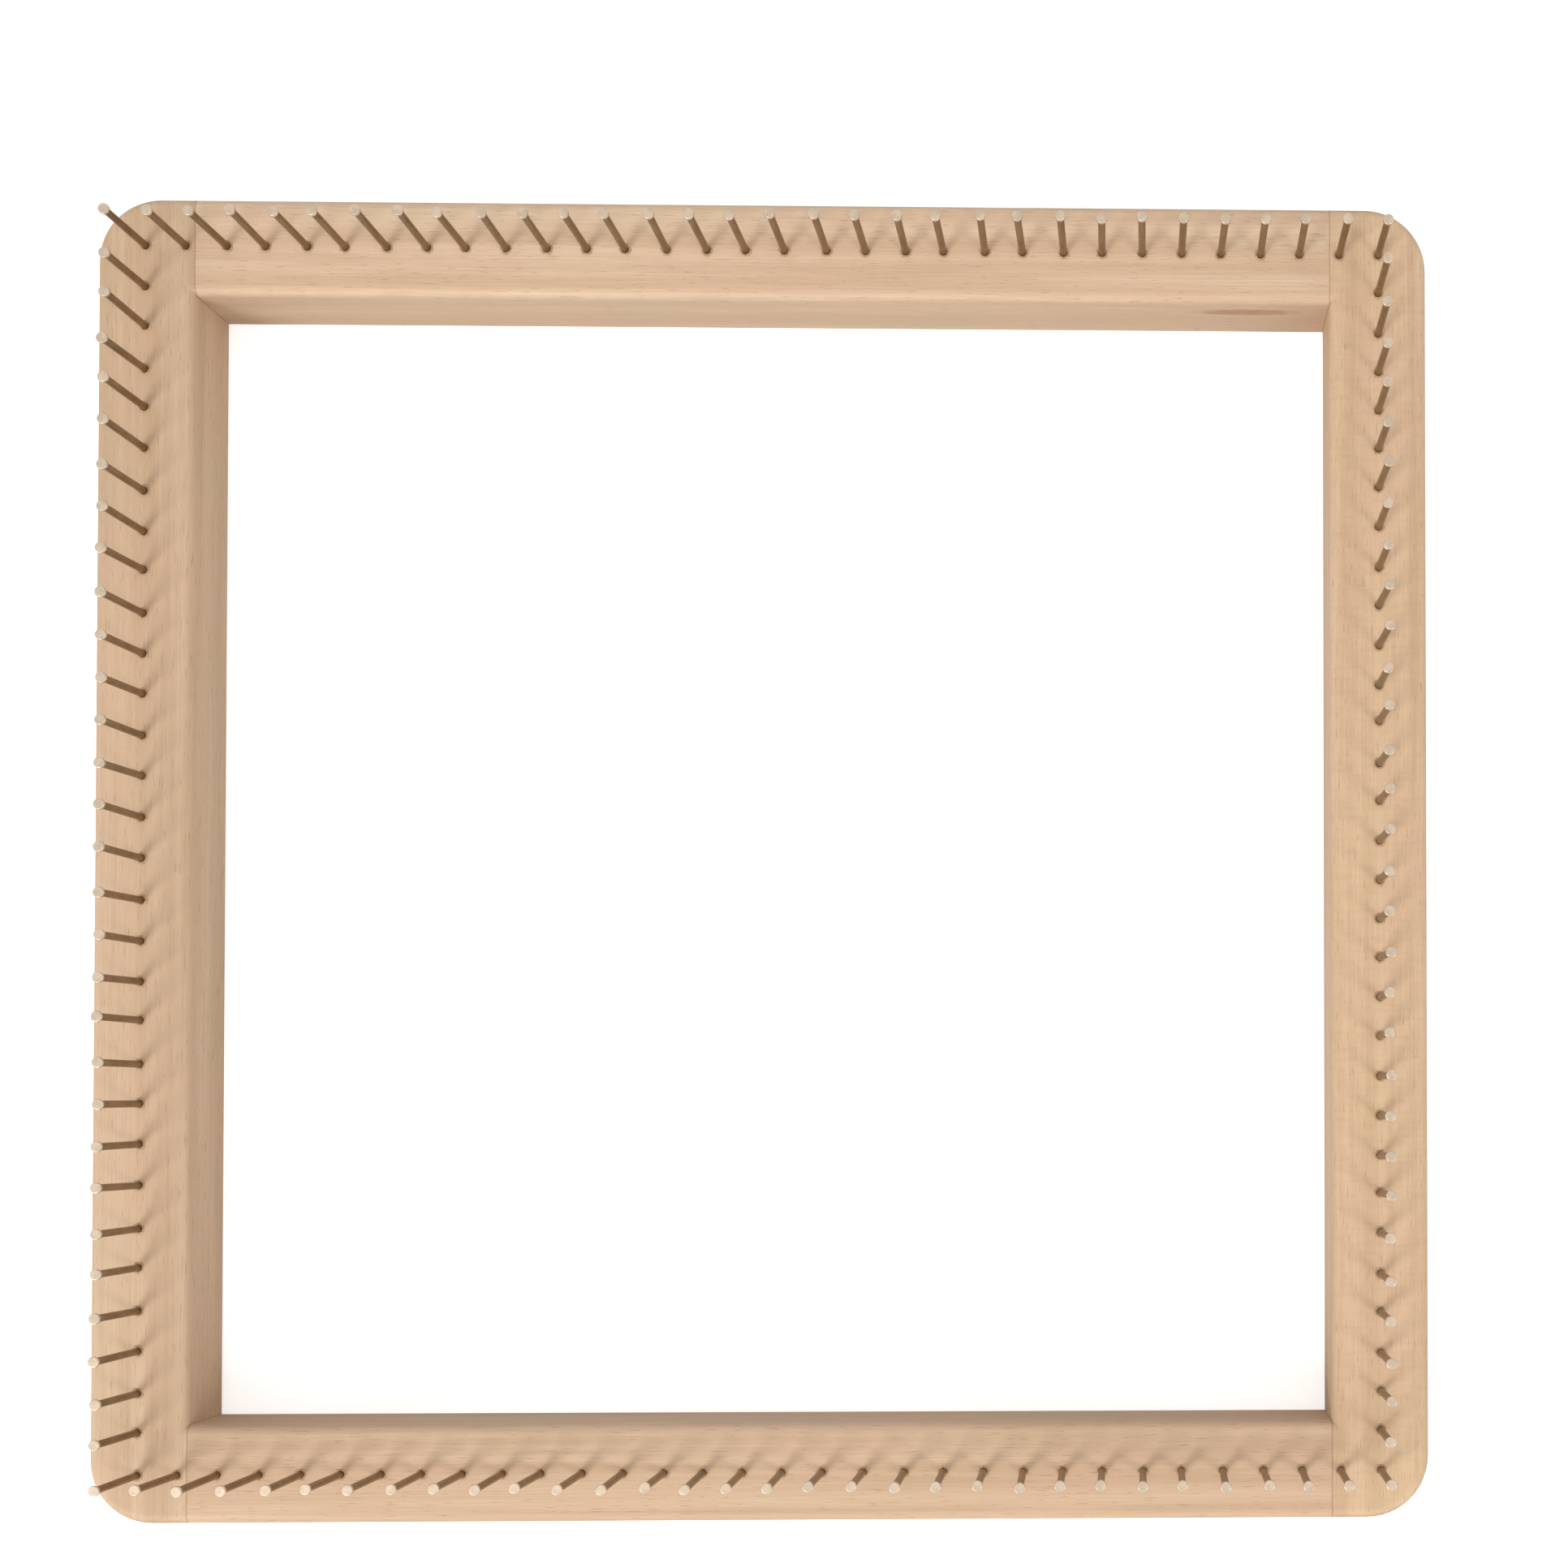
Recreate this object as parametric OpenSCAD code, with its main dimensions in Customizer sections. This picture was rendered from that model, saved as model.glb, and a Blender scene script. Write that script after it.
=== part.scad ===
// Square weaving loom: four butt-jointed hardwood rails and a row of small nails along each rail.
// It lies flat with its nails up. The origin is on the table, under the middle of the frame.
// +X points to the right rail, +Y to the back rail and +Z along the nails.

/* [Frame] */
// Outer width of the frame, from left to right
frame_w = 300; // [220:1:420]
// Outer depth of the frame, from front to back
frame_d = 298; // [220:1:420]
// Width of each rail, seen from above
rail_w = 22; // [20:0.5:30]
// Height of each rail
rail_h = 20; // [17:0.5:30]
// Radius of the four outer corners, seen from above
corner_r = 14; // [6:0.5:18]
// Radius of the rounding along the long edges
edge_r = 2.2; // [0.6:0.1:3.5]

/* [Nails] */
// Number of nails along the back rail, both corners counted
nails_back = 32; // [16:1:34]
// Number of nails along the front rail, both corners counted
nails_front = 32; // [16:1:34]
// Number of nails along the left rail, both corners counted
nails_left = 31; // [16:1:34]
// Number of nails along the right rail, both corners counted
nails_right = 32; // [16:1:34]
// Length of a nail over all, from its point to the top of its head
nail_len = 30; // [26:0.5:34]
// How far a nail stands above its rail
nail_stand = 20; // [12:0.5:22]
// Diameter of a nail's shank
shank_d = 1.6; // [1:0.1:2]
// Diameter of a nail's flat head
head_d = 2.4; // [2.1:0.1:3.4]
// Thickness of a nail's head
head_t = 0.6; // [0.4:0.05:1]
// Radius of the worn rim round the top of a head
head_rim_r = 0.2; // [0.05:0.05:0.35]
// Height of the small cone between the shank and the head
neck_h = 0.4; // [0.2:0.05:0.8]
// Length of a nail's point
point_len = 2.6; // [1.5:0.1:4]
// Furthest that a hand-set nail is off its mark, along its row
nail_drift = 0.35; // [0:0.05:0.6]
// Furthest that a hand-set nail leans out of square, in degrees
nail_lean = 0.8; // [0:0.1:1.2]

/* [Corner dowels] */
// Diameter of a dowel
dowel_d = 6; // [4:0.5:7]
// Length of a dowel
dowel_len = 30; // [20:1:40]
// Distance between the centres of the two dowels of one corner
dowel_pitch = 11; // [9.5:0.5:13]
// Height of the chamfer at each end of a dowel
dowel_chamfer = 0.8; // [0.3:0.1:1.5]
// Wood left between the dowels' ends and the nearest nails of a side rail
dowel_wall = 1.25; // [0.6:0.05:2]

/* [Fits] */
// Radial clearance of a nail in its hole
nail_fit = 0.02; // [0.01:0.01:0.05]
// Room under a nail's point
nail_room = 0.4; // [0.1:0.1:1]
// Radial clearance of a dowel in its hole, filled with glue
dowel_fit = 0.05; // [0.02:0.01:0.1]
// Room for glue past each end of a dowel
dowel_room = 0.4; // [0.1:0.1:0.8]

/* [Hidden] */
$fn = 48;

wood = [0.86, 0.73, 0.61];
wood_light = [0.88, 0.76, 0.64];
steel = [0.47, 0.40, 0.32];
beech = [0.80, 0.64, 0.47];

// How far a cut runs past the face that it starts from
overcut = 1;
shank_r = shank_d / 2;
head_r = head_d / 2;
// Radius of the cone where it meets the head
neck_r = (shank_r + head_r) / 2;
// Depth of a nail in its rail
nail_in = nail_len - nail_stand;
// Size of the opening between the rails
open_w = frame_w - 2 * rail_w;
open_d = frame_d - 2 * rail_w;
// Distances between the nail lines, which run along the middle of the rails
span_x = frame_w - rail_w;
span_y = frame_d - rail_w;
// Depth of a dowel in a side rail, where it ends short of the nail line
dowel_in_side = rail_w / 2 - shank_r - nail_fit - dowel_room - dowel_wall;

// Seeds of the hand-set rows, so that each row differs and stays the same at every build
SEED_LEFT = 11;
SEED_RIGHT = 23;
SEED_BACK = 37;
SEED_FRONT = 41;

// Nails of a row between its two corners, each as
// [distance along the row from its middle, lean about X, lean about Y]
function row_nails(count, span, seed) =
    let (
        drift = rands(-nail_drift, nail_drift, count, seed),
        lean_x = rands(-nail_lean, nail_lean, count, seed + 1),
        lean_y = rands(-nail_lean, nail_lean, count, seed + 2)
    )
    [for (i = [1 : count - 2])
        [span * (i / (count - 1) - 0.5) + drift[i], lean_x[i], lean_y[i]]];

// Every nail as [x, y, lean about X, lean about Y], at the top of the rails
left_row = [for (n = row_nails(nails_left, span_y, SEED_LEFT)) [-span_x / 2, -n[0], n[1], n[2]]];
right_row = [for (n = row_nails(nails_right, span_y, SEED_RIGHT)) [span_x / 2, -n[0], n[1], n[2]]];
back_row = [for (n = row_nails(nails_back, span_x, SEED_BACK)) [n[0], span_y / 2, n[1], n[2]]];
front_row = [for (n = row_nails(nails_front, span_x, SEED_FRONT)) [n[0], -span_y / 2, n[1], n[2]]];
corner_nails = [for (x = [-1, 1], y = [-1, 1]) [x * span_x / 2, y * span_y / 2, 0, 0]];

// The end nails of the back and front rows stand in the side rails, so a row is split at the seams
hole_r = shank_r + nail_fit;
function over_side(row, side) = [for (n = row) if (n[0] * side > open_w / 2 - hole_r) n];
function over_cross(row) = [for (n = row) if (abs(n[0]) < open_w / 2 + hole_r) n];

// What follows is drawn at the back left. It is mirrored to the front for end = -1,
// and to the right for side = 1.
module at_end(end) {
    mirror([0, end < 0 ? 1 : 0, 0]) children();
}

module at_side(side) {
    mirror([side > 0 ? 1 : 0, 0, 0]) children();
}

// Puts what follows at a nail's mark on top of the rails, leaning as that nail does
module at_nail(n) {
    translate([n[0], n[1], rail_h]) rotate([n[2], n[3], 0]) children();
}

// One nail, turned about its axis: point, shank, small cone and flat head with a worn rim
module nail() {
    translate([0, 0, -nail_in]) rotate_extrude() {
        polygon([
            [0, 0],
            [shank_r, point_len],
            [shank_r, nail_len - head_t - neck_h],
            [neck_r, nail_len - head_t],
            [head_r, nail_len - head_t],
            [head_r, nail_len - head_rim_r],
            [head_r - head_rim_r, nail_len - head_rim_r],
            [head_r - head_rim_r, nail_len],
            [0, nail_len]
        ]);
        intersection() {
            translate([head_r - head_rim_r, nail_len - head_rim_r]) circle(head_rim_r);
            translate([head_r - head_rim_r, nail_len - head_rim_r]) square(head_rim_r);
        }
    }
}

module nail_row(row) {
    for (n = row) at_nail(n) nail();
}

// Drilled holes for a row of nails
module nail_holes(row) {
    for (n = row) at_nail(n) translate([0, 0, -nail_in - nail_room])
        cylinder(h = nail_in + nail_room + overcut, r = hole_r);
}

// Section of a rail's outer part: cut off square at 0, outer face at depth, both long edges rounded
module outer_section(depth) {
    intersection() {
        square([depth, rail_h]);
        union() {
            square([depth - edge_r, rail_h]);
            translate([0, edge_r]) square([depth, rail_h - 2 * edge_r]);
            for (z = [edge_r, rail_h - edge_r]) translate([depth - edge_r, z]) circle(edge_r);
        }
    }
}

// Section of a cross rail, rounded on both sides
module cross_section() {
    intersection() {
        outer_section(rail_w);
        translate([rail_w, 0]) mirror([1, 0]) outer_section(rail_w);
    }
}

// Section of the opening across one direction: it flares as the rails' rounded edges do
module flare_section(span) {
    translate([-span / 2, -overcut]) square([span, rail_h + 2 * overcut]);
    for (left = [0, 1], under = [0, 1])
        translate([0, rail_h / 2]) mirror([left, 0]) mirror([0, under]) translate([span / 2, rail_h / 2]) {
            difference() {
                translate([-overcut, -edge_r]) square([overcut + edge_r, edge_r]);
                translate([edge_r, -edge_r]) circle(edge_r);
            }
            translate([-overcut, 0]) square([overcut + edge_r, overcut]);
        }
}

// The opening with its rounded edges, which meet in mitres at its corners
module flared_opening() {
    intersection() {
        rotate([90, 0, 0]) linear_extrude(frame_d, center = true) flare_section(open_w);
        rotate([90, 0, 90]) linear_extrude(frame_w, center = true) flare_section(open_d);
    }
}

// The left rail with its outer edges and its two outer corners rounded
module side_blank() {
    straight = frame_d - 2 * corner_r;
    translate([rail_w - frame_w / 2, straight / 2, 0]) rotate([90, 0, 0])
        linear_extrude(straight) mirror([1, 0]) outer_section(rail_w);
    for (end = [-1, 1]) at_end(end) translate([corner_r - frame_w / 2, straight / 2, 0]) {
        rotate_extrude(start = 90, angle = 90) outer_section(corner_r);
        rotate([90, 0, 90]) linear_extrude(rail_w - corner_r) outer_section(corner_r);
    }
}

// Puts what follows on a dowel's axis at the seam of the back left corner, pointing into the back rail.
// The outer dowel has place = 1, the inner one place = -1.
module at_dowel(end, side, place) {
    at_end(end) at_side(side)
        translate([-open_w / 2, (span_y + place * dowel_pitch) / 2, rail_h / 2])
            rotate([0, 90, 0]) children();
}

// One dowel with chamfered ends, from its end in the side rail to its end in the cross rail
module dowel() {
    dowel_r = dowel_d / 2;
    tip_r = dowel_r - dowel_chamfer;
    translate([0, 0, -dowel_in_side]) {
        cylinder(h = dowel_chamfer, r1 = tip_r, r2 = dowel_r);
        translate([0, 0, dowel_chamfer]) cylinder(h = dowel_len - 2 * dowel_chamfer, r = dowel_r);
        translate([0, 0, dowel_len - dowel_chamfer]) cylinder(h = dowel_chamfer, r1 = dowel_r, r2 = tip_r);
    }
}

module dowel_hole() {
    translate([0, 0, -dowel_in_side - dowel_room])
        cylinder(h = dowel_len + 2 * dowel_room, r = dowel_d / 2 + dowel_fit);
}

// Left rail for side = -1, right rail for side = 1: full length, with the other rails butted between them
module side_rail(side, row) {
    difference() {
        at_side(side) side_blank();
        flared_opening();
        for (end = [-1, 1], place = [-1, 1]) at_dowel(end, side, place) dowel_hole();
        nail_holes(row);
        nail_holes(over_side(corner_nails, side));
        nail_holes(over_side(back_row, side));
        nail_holes(over_side(front_row, side));
    }
}

// Back rail for end = 1, front rail for end = -1
module cross_rail(end, row) {
    difference() {
        at_end(end) translate([-open_w / 2, open_d / 2, 0]) rotate([90, 0, 90])
            linear_extrude(open_w) cross_section();
        for (side = [-1, 1], place = [-1, 1]) at_dowel(end, side, place) dowel_hole();
        nail_holes(over_cross(row));
    }
}

module corner_dowel(end, side, place) {
    color(beech) at_dowel(end, side, place) dowel();
}

module corner_nail(end, side) {
    color(steel) at_nail([side * span_x / 2, end * span_y / 2, 0, 0]) nail();
}

module left_rail() { color(wood) side_rail(-1, left_row); }
module right_rail() { color(wood_light) side_rail(1, right_row); }
module back_rail() { color(wood_light) cross_rail(1, back_row); }
module front_rail() { color(wood) cross_rail(-1, front_row); }
module left_nails() { color(steel) nail_row(left_row); }
module right_nails() { color(steel) nail_row(right_row); }
module back_nails() { color(steel) nail_row(back_row); }
module front_nails() { color(steel) nail_row(front_row); }

left_rail();
right_rail();
back_rail();
front_rail();
left_nails();
right_nails();
back_nails();
front_nails();
corner_nail(1, -1);  // back_left_corner_nail
corner_nail(1, 1);  // back_right_corner_nail
corner_nail(-1, -1);  // front_left_corner_nail
corner_nail(-1, 1);  // front_right_corner_nail
corner_dowel(1, -1, 1);  // back_left_outer_dowel
corner_dowel(1, -1, -1);  // back_left_inner_dowel
corner_dowel(1, 1, 1);  // back_right_outer_dowel
corner_dowel(1, 1, -1);  // back_right_inner_dowel
corner_dowel(-1, -1, 1);  // front_left_outer_dowel
corner_dowel(-1, -1, -1);  // front_left_inner_dowel
corner_dowel(-1, 1, 1);  // front_right_outer_dowel
corner_dowel(-1, 1, -1);  // front_right_inner_dowel
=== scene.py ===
# %% [markdown]
# # A nail loom: wood, steel and light
#
# The loom is four butt-jointed rails of pale hardwood and a row of panel pins along each. Its solids come from
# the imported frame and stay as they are. This lesson gives them their finish, raises the crushed fibres round
# each nail, and sets the table, the lamps and the camera. Lengths are in metres unless a name says otherwise.

# %% Load the frame
import math

import bpy
import numpy as np
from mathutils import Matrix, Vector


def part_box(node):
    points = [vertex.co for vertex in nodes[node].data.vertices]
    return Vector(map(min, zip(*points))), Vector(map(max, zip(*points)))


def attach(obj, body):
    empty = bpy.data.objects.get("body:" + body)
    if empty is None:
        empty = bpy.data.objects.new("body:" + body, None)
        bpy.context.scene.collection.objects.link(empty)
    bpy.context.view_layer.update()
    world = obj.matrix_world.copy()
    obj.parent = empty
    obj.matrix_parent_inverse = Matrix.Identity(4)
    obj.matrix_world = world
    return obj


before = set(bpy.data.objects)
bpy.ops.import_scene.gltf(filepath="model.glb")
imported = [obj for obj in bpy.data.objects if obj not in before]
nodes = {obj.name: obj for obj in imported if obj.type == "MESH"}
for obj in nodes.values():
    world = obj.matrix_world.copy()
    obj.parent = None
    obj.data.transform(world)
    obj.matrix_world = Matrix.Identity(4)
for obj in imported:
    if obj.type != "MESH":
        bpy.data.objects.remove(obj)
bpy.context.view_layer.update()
MM = 0.001

# %% [markdown]
# ## The camera
#
# The photograph looks almost straight down, and the lines that stand upright on the table run to a point at its
# lower right. A camera that was only turned would also make the frame's square lean, so the lens is shifted
# instead. Its place and turn come from matching the rails' edges, the seams and the nails' bases. The shift is
# held to a quarter of the picture, because it moves the loom sideways in every other view too.

# %% Camera
PHOTO_SIDE_PX = 1932
FOCAL_PX = 2621.1
CAMERA_AT_MM = (82.0, -56.0, 500.7)
CAMERA_TURN_DEG = (0.964, -1.287, -0.048)
CAMERA_SHIFT = (-0.250, 0.183)
SENSOR_MM = 36.0
NEAREST_SEEN = 0.01

camera = bpy.data.objects.new("photo_camera", bpy.data.cameras.new("photo_camera"))
bpy.context.scene.collection.objects.link(camera)
camera.data.sensor_width = SENSOR_MM
camera.data.lens = SENSOR_MM * FOCAL_PX / PHOTO_SIDE_PX
camera.data.shift_x, camera.data.shift_y = CAMERA_SHIFT
camera.data.clip_start = NEAREST_SEEN
camera.location = [v * MM for v in CAMERA_AT_MM]
camera.rotation_euler = [math.radians(v) for v in CAMERA_TURN_DEG]
bpy.context.scene.camera = camera
print("lens", round(camera.data.lens, 1), "mm")

# %% [markdown]
# ## One line for each shader node
#
# A shader is a graph of nodes. It could be drawn by hand, but a script can be read again and changed, so each
# node takes one line here: its kind, its settings and what feeds its inputs. A feed is a number, a colour or
# another node's output. Colours are written as they look on the screen and turned into the linear light that
# Blender counts in.

# %% Colours and nodes
def srgb(*levels):
    """Linear colour of 0 to 255 screen levels: the power part of the screen's curve, and opaque."""
    return tuple(((v / 255 + 0.055) / 1.055) ** 2.4 for v in levels) + (1.0,)


def put(tree, kind, feeds=None, **settings):
    """Adds one node with its settings, and feeds its inputs by name or number."""
    node = tree.nodes.new(kind)
    for name, value in settings.items():
        setattr(node, name, value)
    for key, value in (feeds or {}).items():
        if isinstance(value, bpy.types.NodeSocket):
            tree.links.new(value, node.inputs[key])
        else:
            node.inputs[key].default_value = value
    return node


def new_material(name):
    """A material with its node tree and its main shader."""
    material = bpy.data.materials.new(name)
    material.use_nodes = True
    return material, material.node_tree, material.node_tree.nodes["Principled BSDF"]


def new_group(name, inputs, outputs):
    """A node group that takes vectors and gives numbers, with the sockets at its two ends."""
    tree = bpy.data.node_groups.new(name, "ShaderNodeTree")
    for label in inputs:
        tree.interface.new_socket(label, in_out="INPUT", socket_type="NodeSocketVector")
    for label in outputs:
        tree.interface.new_socket(label, in_out="OUTPUT", socket_type="NodeSocketFloat")
    return tree, tree.nodes.new("NodeGroupInput").outputs, tree.nodes.new("NodeGroupOutput").inputs


print("a pale board is", [round(v, 3) for v in srgb(226, 196, 163)[:3]], "in linear light")

# %% [markdown]
# ## Sums, steps and stains
#
# Most of a finish is a mask between 0 and 1 that says where something is, and a stain that is laid there. The
# helpers below do the sums on masks, cut a soft step out of a noise, and lay a stain over a colour.

# %% Masks and stains
def sums(tree, operation, a, b=0.0, clamp=False):
    return put(tree, "ShaderNodeMath", {0: a, 1: b}, operation=operation, use_clamp=clamp).outputs[0]


def step_of(tree, value, low, high):
    """0 below low, 1 above high and a smooth step between them."""
    return put(tree, "ShaderNodeMapRange", {"Value": value, "From Min": low, "From Max": high},
               interpolation_type="SMOOTHSTEP").outputs[0]


def inverse(tree, mask):
    return sums(tree, "SUBTRACT", 1.0, mask)


def stain(tree, under, mask, share, over):
    """The colour under, turned towards the colour over by that share where the mask is 1."""
    weight = sums(tree, "MULTIPLY", mask, share)
    return put(tree, "ShaderNodeMix", {0: weight, 6: under, 7: over}, data_type="RGBA").outputs[2]


def noise(tree, vector, cells, detail, rough=0.5, warp=0.0):
    """Noise with that many cells a metre along each axis: few cells along an axis draw it out that way."""
    drawn = put(tree, "ShaderNodeVectorMath", {0: vector, 1: cells}, operation="MULTIPLY").outputs[0]
    return put(tree, "ShaderNodeTexNoise", {"Vector": drawn, "Scale": 1.0, "Detail": detail,
                                            "Roughness": rough, "Distortion": warp}).outputs[0]


def bump(tree, surface, height, strength, distance):
    """Lets a height tilt the light on a surface, as fine relief does."""
    relief = put(tree, "ShaderNodeBump", {"Height": height, "Strength": strength, "Distance": distance})
    tree.links.new(relief.outputs[0], surface.inputs["Normal"])


print("helpers ready: sums, step_of, inverse, stain, noise, bump")


# %% [markdown]
# ## Grain of a sawn board
#
# A board's figure has several scales at once. Wide growth bands run its length, fine fibres and short dark
# pores lie along them, rays cross them, and the tone drifts in soft clouds. A whole trunk's rings could be cut
# through, but at this size a noise that is drawn out along the board looks the same and costs less. The group
# takes a vector whose X runs along the grain. It gives masks only, so each rail keeps its own colours.

# %% Board grain
FIGURES = {    # cells a metre along, across and through the board, and the step that cuts the noise
    "Bands": dict(cells=(5.0, 210.0, 120.0), detail=2.5, rough=0.55, warp=0.35, low=0.33, high=0.67),
    "Fibres": dict(cells=(45.0, 2300.0, 1700.0), detail=3.0, rough=0.6, low=0.3, high=0.7),
    "Pores": dict(cells=(260.0, 3300.0, 2600.0), detail=1.0, rough=0.4, low=0.64, high=0.74),
    "Clouds": dict(cells=(26.0, 60.0, 60.0), detail=2.0, low=0.3, high=0.7),
    "Rays": dict(cells=(900.0, 150.0, 400.0), detail=1.0, low=0.45, high=0.7),
}


def make_board_grain():
    """Masks of the five figures, and a height that rises on fibres and falls in pores, half each."""
    tree, given, result = new_group("board_grain", ["Vector"], [*FIGURES, "Height"])
    masks = {}
    for name, figure in FIGURES.items():
        cut = {key: value for key, value in figure.items() if key not in ("low", "high")}
        masks[name] = step_of(tree, noise(tree, given["Vector"], **cut), figure["low"], figure["high"])
        tree.links.new(masks[name], result[name])
    height = sums(tree, "MULTIPLY", sums(tree, "SUBTRACT", masks["Fibres"], masks["Pores"]), 0.5)
    tree.links.new(height, result["Height"])
    return tree


board_grain = make_board_grain()
print("board grain has", len(board_grain.nodes), "nodes")

# %% [markdown]
# ## Painted shade on the sides, and end grain
#
# Faces that look sideways, the inner faces and the rounded edges, get painted shade, and cut fibres drink the oil
# deeper than long ones. Both follow the way a face looks, so one group reads the object's own normal, with X
# along the rail. A noise makes the first mask ragged, so the painted shade has no straight rim.

# %% Edge masks
# Painted shade on faces that look sideways: a noise frays its rim, and it steps up between these two turns from
# flat.
PATCH_CELLS = (180.0, 180.0, 180.0)
PATCH_SHARE = 0.5
SIDE_SHADE_FROM, SIDE_SHADE_TO = 0.05, 0.8
ACROSS_FROM, ACROSS_TO = 0.45, 0.9


def make_edge_masks():
    """Turned is 1 where a face looks sideways, a mask of painted shade, and Across is 1 where it looks along the
    rail.
    """
    tree, given, result = new_group("edge_masks", ["Normal", "Vector"], ["Turned", "Across"])
    looks = put(tree, "ShaderNodeSeparateXYZ", {0: given["Normal"]}).outputs
    sideways = sums(tree, "SUBTRACT", 1.0, sums(tree, "ABSOLUTE", looks["Z"]), clamp=True)
    patch = sums(tree, "SUBTRACT", noise(tree, given["Vector"], PATCH_CELLS, 3.0, 0.6), 0.5)
    ragged = sums(tree, "ADD", sideways, sums(tree, "MULTIPLY", patch, PATCH_SHARE))
    tree.links.new(step_of(tree, ragged, SIDE_SHADE_FROM, SIDE_SHADE_TO), result["Turned"])
    along = sums(tree, "ABSOLUTE", looks["X"])
    tree.links.new(step_of(tree, along, ACROSS_FROM, ACROSS_TO), result["Across"])
    return tree


edge_masks = make_edge_masks()
print("edge masks have", len(edge_masks.nodes), "nodes")

# %% [markdown]
# ## Seams
#
# Where the back and front rails butt against the side rails, glue and dust draw a hairline. A real gap would be
# thinner than a pixel and would need both rails cut again, so the line is a mask on the wood. Its place is
# read from the frame: the seams are at the ends of the back rail.

# %% Seam line
SEAM_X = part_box("back_rail")[1][0]
SEAM_FROM_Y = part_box("back_rail")[0][1]
SEAM_HALF = 0.00022
SEAM_CORE = 0.4


def make_seam_line():
    """1 within a hair of the planes where the rails meet, and only past the opening's front and back."""
    tree, given, result = new_group("seam_line", ["Place"], ["Line"])
    axes = put(tree, "ShaderNodeSeparateXYZ", {0: given["Place"]}).outputs
    off = sums(tree, "ABSOLUTE", sums(tree, "SUBTRACT", sums(tree, "ABSOLUTE", axes["X"]), SEAM_X))
    past = step_of(tree, sums(tree, "ABSOLUTE", axes["Y"]), SEAM_FROM_Y - SEAM_HALF, SEAM_FROM_Y)
    line = inverse(tree, step_of(tree, off, SEAM_HALF * SEAM_CORE, SEAM_HALF))
    tree.links.new(sums(tree, "MULTIPLY", past, line), result["Line"])
    return tree


seam_line = make_seam_line()
print("seams at x =", round(SEAM_X / MM, 1), "mm either way")

# %% [markdown]
# ## A streak in the back rail
#
# The back rail's inner face has a reddish streak near its right end, pointed at both ends, as a bit of grown-in
# bark leaves. It is an ellipse in the face's own plane, with a noise added to its rim so that the ends fray.

# %% Streak
STREAK_AT = (0.1095, 0.0140)      # along X, and height
STREAK_HALF = (0.0130, 0.0020)
STREAK_FADES_Y = (0.1280, 0.1290)
STREAK_RIM = (0.5, 1.8)
STREAK_FRAY_CELLS = (400.0, 3000.0, 400.0)


def streak_mask(tree, place):
    """1 inside the ellipse where the sum of the squares of both distances, each over its half size, is small."""
    axes = put(tree, "ShaderNodeSeparateXYZ", {0: place}).outputs
    squares = []
    for axis, middle, half in zip((axes["X"], axes["Z"]), STREAK_AT, STREAK_HALF):
        share = sums(tree, "MULTIPLY", sums(tree, "SUBTRACT", axis, middle), 1 / half)
        squares.append(sums(tree, "POWER", sums(tree, "ABSOLUTE", share), 2.0))
    frayed = sums(tree, "ADD", sums(tree, "ADD", *squares), noise(tree, place, STREAK_FRAY_CELLS, 2.0))
    inner_face = inverse(tree, step_of(tree, axes["Y"], *STREAK_FADES_Y))
    return sums(tree, "MULTIPLY", inner_face, inverse(tree, step_of(tree, frayed, *STREAK_RIM)))


print("streak:", round(2 * STREAK_HALF[0] / MM, 1), "by", round(2 * STREAK_HALF[1] / MM, 1), "mm")


# %% [markdown]
# ## The rails' wood
#
# A finish for sanded hardwood starts from two tones of the board, and every mask lays its stain over them:
# pinkish clouds, fibres, pores, painted shade on the sides, oiled end grain and the seam. Thin oil keeps the
# gloss low. The pattern reads the object's own coordinates, turned so that X runs along the rail, so it stays on
# the wood.

# %% Rail finish
GRAIN_STAINS = {
    "Clouds": (0.30, srgb(232, 190, 163)),
    "Fibres": (0.22, srgb(186, 150, 116)),
    "Pores": (0.35, srgb(150, 112, 80)),
}
BAND_SHARE = 0.9
RAY_TONE = srgb(190, 152, 120)
# Painted shade: the greyer tone laid on faces that look sideways.
SIDE_SHADE_TONE = srgb(176, 152, 128)
END_SHARE, END_TONE = 0.45, srgb(176, 136, 100)
SEAM_SHARE, SEAM_TONE = 0.4, srgb(138, 104, 76)
STREAK_SHARE, STREAK_TONE = 0.6, srgb(160, 104, 70)
OIL_ROUGHNESS, FIBRE_ROUGHNESS, OIL_SPECULAR = 0.46, 0.14, 0.3


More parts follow.
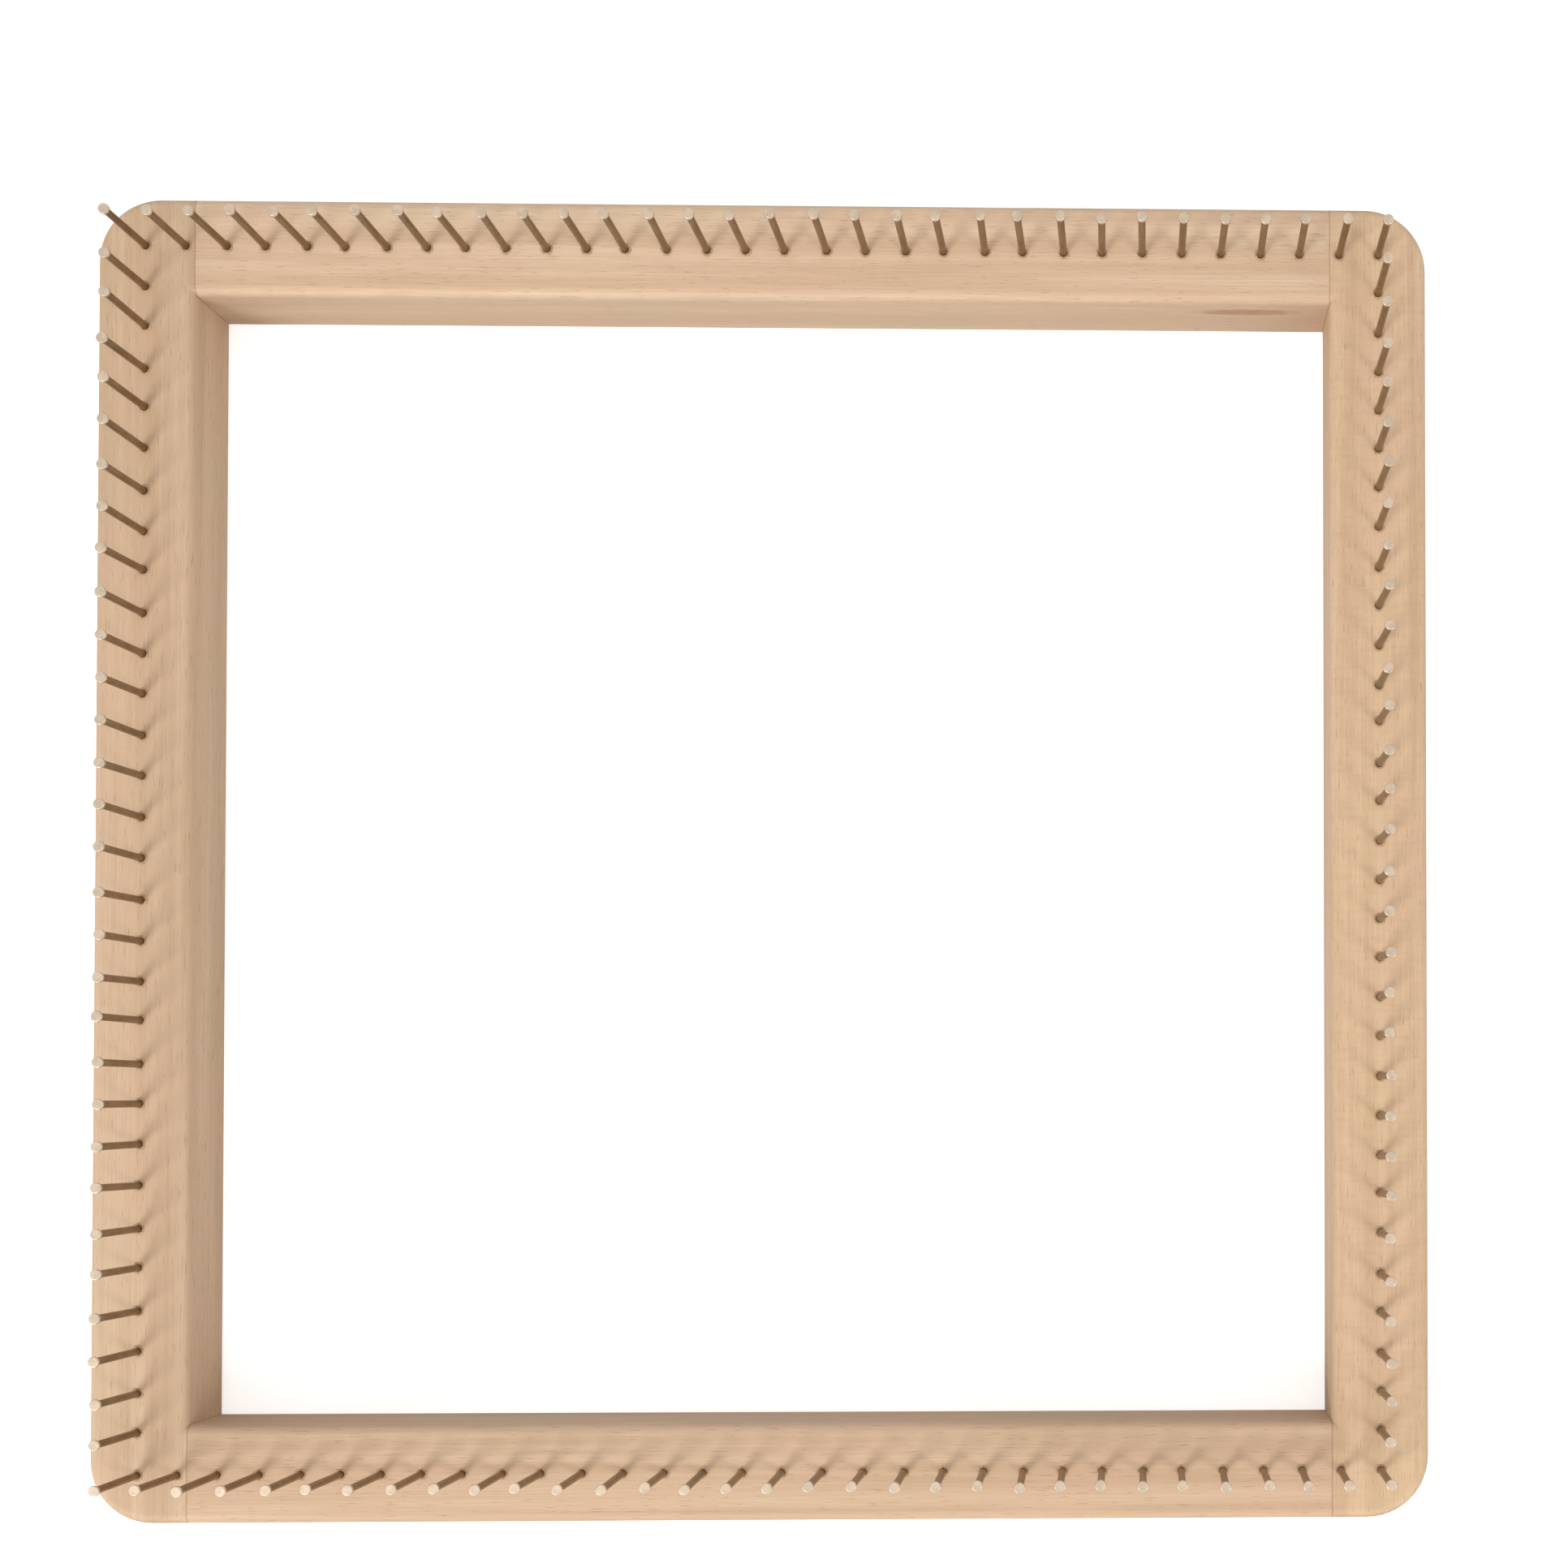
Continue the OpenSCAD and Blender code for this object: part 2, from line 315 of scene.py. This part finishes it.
def rail_wood(name, along_y, board, pale, dark, sideways_shade, rays=0.0, streak=False):
    material, tree, surface = new_material(name)
    spot = put(tree, "ShaderNodeTexCoord").outputs
    turn = (0.0, 0.0, math.radians(-90.0 if along_y else 0.0))
    vector = put(tree, "ShaderNodeMapping",
                 {"Vector": spot["Object"], "Location": board, "Rotation": turn}).outputs[0]
    normal = put(tree, "ShaderNodeMapping", {"Vector": spot["Normal"], "Rotation": turn},
                 vector_type="NORMAL").outputs[0]
    grain = put(tree, "ShaderNodeGroup", {"Vector": vector}, node_tree=board_grain).outputs
    edges = put(tree, "ShaderNodeGroup", {"Normal": normal, "Vector": vector},
                node_tree=edge_masks).outputs
    seam = put(tree, "ShaderNodeGroup", {"Place": spot["Object"]}, node_tree=seam_line).outputs

    colour = stain(tree, pale, grain["Bands"], BAND_SHARE, dark)
    for figure, (share, tone) in GRAIN_STAINS.items():
        colour = stain(tree, colour, grain[figure], share, tone)
    if rays:
        colour = stain(tree, colour, grain["Rays"], rays, RAY_TONE)
    # Painted shade on the inner faces and rounded edges, at each rail's own share.
    colour = stain(tree, colour, edges["Turned"], sideways_shade, SIDE_SHADE_TONE)
    colour = stain(tree, colour, edges["Across"], END_SHARE, END_TONE)
    colour = stain(tree, colour, seam["Line"], SEAM_SHARE, SEAM_TONE)
    if streak:
        colour = stain(tree, colour, streak_mask(tree, spot["Object"]), STREAK_SHARE, STREAK_TONE)
    tree.links.new(colour, surface.inputs["Base Color"])
    dull = sums(tree, "ADD", OIL_ROUGHNESS, sums(tree, "MULTIPLY", grain["Fibres"], FIBRE_ROUGHNESS))
    tree.links.new(dull, surface.inputs["Roughness"])
    surface.inputs["Specular IOR Level"].default_value = OIL_SPECULAR
    bump(tree, surface, grain["Height"], strength=0.35, distance=0.12 * MM)
    return material


print("stains of the grain:", ", ".join(GRAIN_STAINS))


# %% [markdown]
# ## Four boards
#
# Every rail is cut from another board, so each has its own place in the grain, its own two tones and its own
# share of painted shade on its sides. The right rail shows faint cross bands, where the saw cut the wood's rays
# along their length. Only the material in a node's slot changes, and the node's mesh is left alone.

# %% Rails
# Each rail's share of painted shade on its sideways faces is given with its tones.
RAILS = {
    "left_rail": dict(along_y=True, board=(0.0, 0.0, 0.0), sideways_shade=0.18,
                      pale=srgb(226, 196, 163), dark=srgb(207, 175, 140)),
    "right_rail": dict(along_y=True, board=(3.1, 0.2, 0.0), sideways_shade=0.24, rays=0.12,
                       pale=srgb(234, 201, 163), dark=srgb(216, 183, 145)),
    "back_rail": dict(along_y=False, board=(7.4, 0.5, 0.0), sideways_shade=0.46, streak=True,
                      pale=srgb(240, 211, 178), dark=srgb(222, 188, 155)),
    "front_rail": dict(along_y=False, board=(9.7, 0.9, 0.0), sideways_shade=0.42,
                       pale=srgb(227, 196, 163), dark=srgb(208, 175, 142)),
}
for name, finish in RAILS.items():
    nodes[name].material_slots[0].material = rail_wood(name + "_wood", **finish)
print("rails:", ", ".join(RAILS))

# %% [markdown]
# ## The nails' steel
#
# Drawn wire keeps fine lines along its length, and its brown tone is a painted reflection of the wood. The pale
# pressed heads are a painted highlight, and a painted shade darkens the foot where the wire enters the wood. The
# nails all stand on the same level, so height alone tells head, shank and foot apart, and one material serves
# them all.

# %% Nail finish
HEAD_Z = (0.0388, 0.0395)
FOOT_Z = (0.0200, 0.0232)
LINE_CELLS = (5200.0, 5200.0, 120.0)
BLOTCH_CELLS = (420.0, 420.0, 200.0)
# Painted reflection: the shank's brown tones stand for the wood mirrored in the steel.
SHANK_REFLECTION_TONES, SHANK_BLOTCH = (srgb(136, 111, 80), srgb(154, 129, 97)), (0.35, 0.65)
# Painted highlight: the heads' pale tones.
HEAD_HIGHLIGHT_TONES, HEAD_BLOTCH = (srgb(216, 196, 172), srgb(200, 182, 160)), (0.4, 0.6)
LINE_SHARE, LINE_TONE = 0.3, srgb(120, 96, 72)
# Painted shade: the darker tone at each nail's foot.
FOOT_SHADE_SHARE, FOOT_SHADE_TONE = 0.3, srgb(96, 68, 44)
STEEL_METALLIC = 0.8
STEEL_ROUGHNESS, BLOTCH_ROUGHNESS = 0.28, 0.2


def nail_steel():
    material, tree, surface = new_material("nail_steel_with_painted_light")
    place = put(tree, "ShaderNodeTexCoord").outputs["Object"]
    height = put(tree, "ShaderNodeSeparateXYZ", {0: place}).outputs["Z"]
    lines = noise(tree, place, LINE_CELLS, 2.0)
    blotch = noise(tree, place, BLOTCH_CELLS, 3.0, 0.6)
    foot = inverse(tree, step_of(tree, height, *FOOT_Z))
    # The shank's painted reflection of the wood, in two blotched tones.
    shank = stain(tree, SHANK_REFLECTION_TONES[0], step_of(tree, blotch, *SHANK_BLOTCH), 1.0, SHANK_REFLECTION_TONES[1])
    shank = stain(tree, shank, lines, LINE_SHARE, LINE_TONE)
    # Painted shade at the foot, where the wire enters the wood.
    shank = stain(tree, shank, foot, FOOT_SHADE_SHARE, FOOT_SHADE_TONE)
    # Painted highlight on the heads.
    head = stain(tree, HEAD_HIGHLIGHT_TONES[0], step_of(tree, blotch, *HEAD_BLOTCH), 1.0, HEAD_HIGHLIGHT_TONES[1])
    colour = stain(tree, shank, step_of(tree, height, *HEAD_Z), 1.0, head)
    tree.links.new(colour, surface.inputs["Base Color"])
    surface.inputs["Metallic"].default_value = STEEL_METALLIC
    dull = sums(tree, "ADD", STEEL_ROUGHNESS, sums(tree, "MULTIPLY", blotch, BLOTCH_ROUGHNESS))
    tree.links.new(dull, surface.inputs["Roughness"])
    bump(tree, surface, lines, strength=0.25, distance=0.03 * MM)
    return material


steel = nail_steel()
nail_nodes = [name for name in nodes if name.endswith(("_nails", "_nail"))]
for name in nail_nodes:
    nodes[name].material_slots[0].material = steel
print(len(nail_nodes), "nodes of nails")

# %% [markdown]
# ## The dowels' beech
#
# The dowels stay hidden in the corner joints, and would show if the loom came apart. They are turned from
# beech, so their grain runs along X and carries that wood's short brown flecks. The board grain serves again.

# %% Dowel finish
DOWEL_TONES = srgb(216, 178, 138), srgb(196, 156, 116)
FLECK_SHARE, FLECK_TONE = 0.6, srgb(128, 84, 54)
DOWEL_ROUGHNESS, DOWEL_FIBRE_ROUGHNESS = 0.55, 0.1


def dowel_beech():
    material, tree, surface = new_material("dowel_beech_turned")
    place = put(tree, "ShaderNodeTexCoord").outputs["Object"]
    grain = put(tree, "ShaderNodeGroup", {"Vector": place}, node_tree=board_grain).outputs
    colour = stain(tree, DOWEL_TONES[0], grain["Bands"], 1.0, DOWEL_TONES[1])
    colour = stain(tree, colour, grain["Pores"], FLECK_SHARE, FLECK_TONE)
    tree.links.new(colour, surface.inputs["Base Color"])
    rubbed = sums(tree, "MULTIPLY", grain["Fibres"], DOWEL_FIBRE_ROUGHNESS)
    tree.links.new(sums(tree, "ADD", DOWEL_ROUGHNESS, rubbed), surface.inputs["Roughness"])
    return material


beech = dowel_beech()
dowel_nodes = [name for name in nodes if name.endswith("_dowel")]
for name in dowel_nodes:
    nodes[name].material_slots[0].material = beech
print(len(dowel_nodes), "dowels")

# %% [markdown]
# ## Where the nails leave the wood
#
# Each nail leans a little its own way, so the spot where it leaves the rail is measured on the frame and not
# guessed from an even spacing. A nail's vertices lie close together along its row, and the next nail's lie
# well apart from them. Its axis runs from the middle of its point to the middle of its neck.

# %% Nail places
RAIL_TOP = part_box("left_rail")[1][2]
POINT_BELOW, NECK_ABOVE = 0.0105, 0.0385
GAP_BETWEEN_NAILS = 0.003


def nail_places(name):
    """Where the axes of a node's nails cross the rails' top. Vertices are sorted along the row and split at
    wide gaps, and each axis is the line through the means of a nail's lowest and of its highest vertices."""
    mesh = nodes[name].data
    points = np.empty(len(mesh.vertices) * 3)
    mesh.vertices.foreach_get("co", points)
    points = points.reshape(-1, 3)
    row_axis = int(np.argmax(np.ptp(points[:, :2], axis=0)))
    points = points[np.argsort(points[:, row_axis])]
    nail = np.concatenate([[0], np.cumsum(np.diff(points[:, row_axis]) > GAP_BETWEEN_NAILS)])
    nails = nail[-1] + 1

    def middle(chosen):
        count = np.bincount(nail[chosen], minlength=nails)
        return np.stack([np.bincount(nail[chosen], points[chosen, k], nails) / count for k in range(3)], 1)

    low, high = middle(points[:, 2] < POINT_BELOW), middle(points[:, 2] > NECK_ABOVE)
    share = (RAIL_TOP - low[:, 2:]) / (high[:, 2:] - low[:, 2:])
    return low + (high - low) * share


left_places = nail_places("left_nails")
left_reach = round(np.ptp(left_places[:, 1]) / MM, 1)
print("left row:", len(left_places), "nails,", left_reach, "mm from first to last")

# %% [markdown]
# ## Crushed fibres
#
# A driven nail pushes the wood up in a small collar. A painted ring would vanish from the side, so each collar is
# a closed ring of five points in its section and twelve sections round, few enough to be repeated for every
# nail. Random shares push each section out and up a little, as torn fibres stand.

# %% Collar shape
RING_STEPS = 12
RING_SECTION_MM = ((0.82, -0.10), (0.84, 0.10), (1.02, 0.16), (1.30, 0.03), (1.36, -0.10))    # r and h
RING_SPREAD = 0.22
SPREAD_RANGE = (-0.4, 1.0)
RISE_RANGE = (0.7, 1.3)


def ring_mesh(name, centres, seed):
    """One mesh of closed rings. The section, at radius r and height h, goes to (r cos t, r sin t, h) round each
    centre, with r and h times random shares that differ from step to step. Quads join each step to the next
    and each point of the section to the next, and both wrap round."""
    draw = np.random.default_rng(seed)
    section = np.array(RING_SECTION_MM) * MM
    turn = np.linspace(0, 2 * math.pi, RING_STEPS, endpoint=False)
    count, points = len(centres), len(section)
    outwards = np.linspace(0, 1, points)
    spread = 1 + RING_SPREAD * draw.uniform(*SPREAD_RANGE, (count, RING_STEPS, 1)) * outwards
    radius = section[:, 0] * spread
    rise = section[:, 1] * draw.uniform(*RISE_RANGE, (count, RING_STEPS, 1))
    place = np.stack([radius * np.cos(turn)[:, None], radius * np.sin(turn)[:, None], rise], -1)
    place = place + centres[:, None, None, :]
    ring, step, point = np.meshgrid(*(np.arange(n) for n in (count, RING_STEPS, points)), indexing="ij")

    def index(step, point):
        return ((ring * RING_STEPS + step % RING_STEPS) * points + point % points).ravel()

    faces = np.stack([index(step, point), index(step, point + 1),
                      index(step + 1, point + 1), index(step + 1, point)], 1)
    mesh = bpy.data.meshes.new(name)
    mesh.from_pydata(place.reshape(-1, 3).tolist(), [], faces.tolist())
    mesh.validate()
    mesh.polygons.foreach_set("use_smooth", np.ones(len(mesh.polygons), bool))
    piece = bpy.data.objects.new(name, mesh)
    bpy.context.scene.collection.objects.link(piece)
    return piece


print("a collar has", RING_STEPS * len(RING_SECTION_MM), "faces")

# %% [markdown]
# ## Finish of the crushed fibres
#
# Broken fibres catch the light every way and look dull, and the collars are darker than the wood, partly torn
# fibre and partly painted shade at the nail's foot. A fine noise with cells of a third of a millimetre mixes the
# two and gives the relief.

# %% Collar finish
TORN_CELLS = (2600.0, 2600.0, 2600.0)
# Darker than the rails: partly torn fibre, partly painted shade at each nail's foot.
TORN_AND_SHADE_TONES, TORN_STEP = (srgb(176, 142, 106), srgb(206, 172, 136)), (0.35, 0.65)
TORN_ROUGHNESS = 0.75


def collar_wood():
    material, tree, surface = new_material("crushed_fibres_and_shade")
    place = put(tree, "ShaderNodeTexCoord").outputs["Object"]
    torn = noise(tree, place, TORN_CELLS, 3.0, 0.6)
    colour = stain(tree, TORN_AND_SHADE_TONES[0], step_of(tree, torn, *TORN_STEP), 1.0, TORN_AND_SHADE_TONES[1])
    tree.links.new(colour, surface.inputs["Base Color"])
    surface.inputs["Roughness"].default_value = TORN_ROUGHNESS
    bump(tree, surface, torn, strength=0.5, distance=0.08 * MM)
    return material


fibres = collar_wood()
print("finish:", fibres.name)

# %% [markdown]
# ## Collars in their places
#
# The collars of one row are one piece, and so are the four in the corners. They are part of the wood, so they
# ride on the loom's one body.

# %% Collars
def add_collars(name, centres, seed):
    piece = ring_mesh(name, centres, seed)
    piece.data.materials.append(fibres)
    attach(piece, "root")
    print(name, "has", len(centres), "collars of", len(piece.data.polygons) // len(centres), "faces")


ROW_SLOTS = {"left": "side_rail_wood", "right": "side_rail_wood",
             "back": "cross_rail_wood", "front": "cross_rail_wood"}
for seed, (row, slot) in enumerate(ROW_SLOTS.items()):
    add_collars(row + "_fibre_collars", nail_places(row + "_nails"), seed)
corner_places = [nail_places(name) for name in nail_nodes if name.endswith("_corner_nail")]
add_collars("corner_fibre_collars", np.concatenate(corner_places), len(ROW_SLOTS))

# %% [markdown]
# ## The table
#
# The photograph's ground is white. A table that is lit until it turns white would wash out the wood as well,
# so the table is pale and also glows, for the camera's own rays only. It lights nothing else, and the loom's
# shadow stays on it.

# %% Table
TABLE_HALF = 2.5
TABLE_LINES = 9
TABLE_BELOW = 0.0002
TABLE_WHITE = (0.86, 0.86, 0.86, 1.0)
TABLE_ROUGHNESS = 0.9
TABLE_GLOW = 0.62


def make_table():
    """A flat square grid just under the loom: lines evenly apart both ways, and a quad in each cell."""
    line = np.linspace(-TABLE_HALF, TABLE_HALF, TABLE_LINES)
    x, y = np.meshgrid(line, line, indexing="ij")
    place = np.stack([x, y, np.full_like(x, -TABLE_BELOW)], -1).reshape(-1, 3)
    corner = np.arange(TABLE_LINES ** 2).reshape(TABLE_LINES, TABLE_LINES)
    faces = np.stack([corner[:-1, :-1], corner[1:, :-1], corner[1:, 1:], corner[:-1, 1:]], -1)
    mesh = bpy.data.meshes.new("table")
    mesh.from_pydata(place.tolist(), [], faces.reshape(-1, 4).tolist())
    table = bpy.data.objects.new("table", mesh)
    bpy.context.scene.collection.objects.link(table)
    return table


def table_white():
    material, tree, surface = new_material("white_table")
    surface.inputs["Base Color"].default_value = TABLE_WHITE
    surface.inputs["Roughness"].default_value = TABLE_ROUGHNESS
    surface.inputs["Specular IOR Level"].default_value = 0.0
    surface.inputs["Emission Color"].default_value = (1.0, 1.0, 1.0, 1.0)
    seen = put(tree, "ShaderNodeLightPath").outputs["Is Camera Ray"]
    tree.links.new(sums(tree, "MULTIPLY", seen, TABLE_GLOW), surface.inputs["Emission Strength"])
    return material


table = make_table()
table.data.materials.append(table_white())
print("table", 2 * TABLE_HALF, "m square")

# %% [markdown]
# ## The lamps
#
# In the photograph each nail throws one soft shadow to the upper right, which fades a few millimetres from its
# foot, so the main lamp is wide and stands at the lower left. The right row shows a second shadow to the upper
# left, from a weaker lamp at the lower right. A disc turned to the loom gives both.

# %% Lamps
LAMPS = {
    "key_lamp": dict(at=(-1.00, -1.15, 1.30), width=0.85, watts=16.0),
    "second_lamp": dict(at=(0.80, -0.60, 0.75), width=0.40, watts=2.4),
}


def make_lamp(name, at, width, watts):
    """A disc lamp that looks at the origin: tilted by the angle from straight down, then turned about Z."""
    lamp = bpy.data.objects.new(name, bpy.data.lights.new(name, "AREA"))
    lamp.data.shape = "DISK"
    lamp.data.size = width
    lamp.data.energy = watts
    lamp.location = at
    towards = -np.array(at) / np.linalg.norm(at)
    tilt, heading = math.acos(-towards[2]), math.atan2(towards[1], towards[0]) - math.pi / 2
    lamp.rotation_euler = (tilt, 0.0, heading)
    bpy.context.scene.collection.objects.link(lamp)


for name, lamp in LAMPS.items():
    make_lamp(name, **lamp)
print("lamps:", ", ".join(LAMPS))

# %% [markdown]
# ## The room
#
# A strong even fill keeps the shadows light, as a white room does. The room is full white only for rays that
# come from the camera or off a shiny surface, so that the ground and the steel show it white while the wood
# gets the fill alone.

# %% Room
FILL = 0.66


def make_room():
    world = bpy.data.worlds.new("white_room")
    world.use_nodes = True
    tree = world.node_tree
    back = tree.nodes["Background"]
    back.inputs["Color"].default_value = (1.0, 1.0, 1.0, 1.0)
    ray = put(tree, "ShaderNodeLightPath").outputs
    shown = sums(tree, "MAXIMUM", ray["Is Camera Ray"], ray["Is Glossy Ray"])
    shown = sums(tree, "MAXIMUM", shown, ray["Is Transmission Ray"])
    strength = sums(tree, "ADD", FILL, sums(tree, "MULTIPLY", shown, 1.0 - FILL))
    tree.links.new(strength, back.inputs["Strength"])
    bpy.context.scene.world = world


make_room()
bpy.context.scene.view_settings.view_transform = "Standard"
print("fill", FILL)
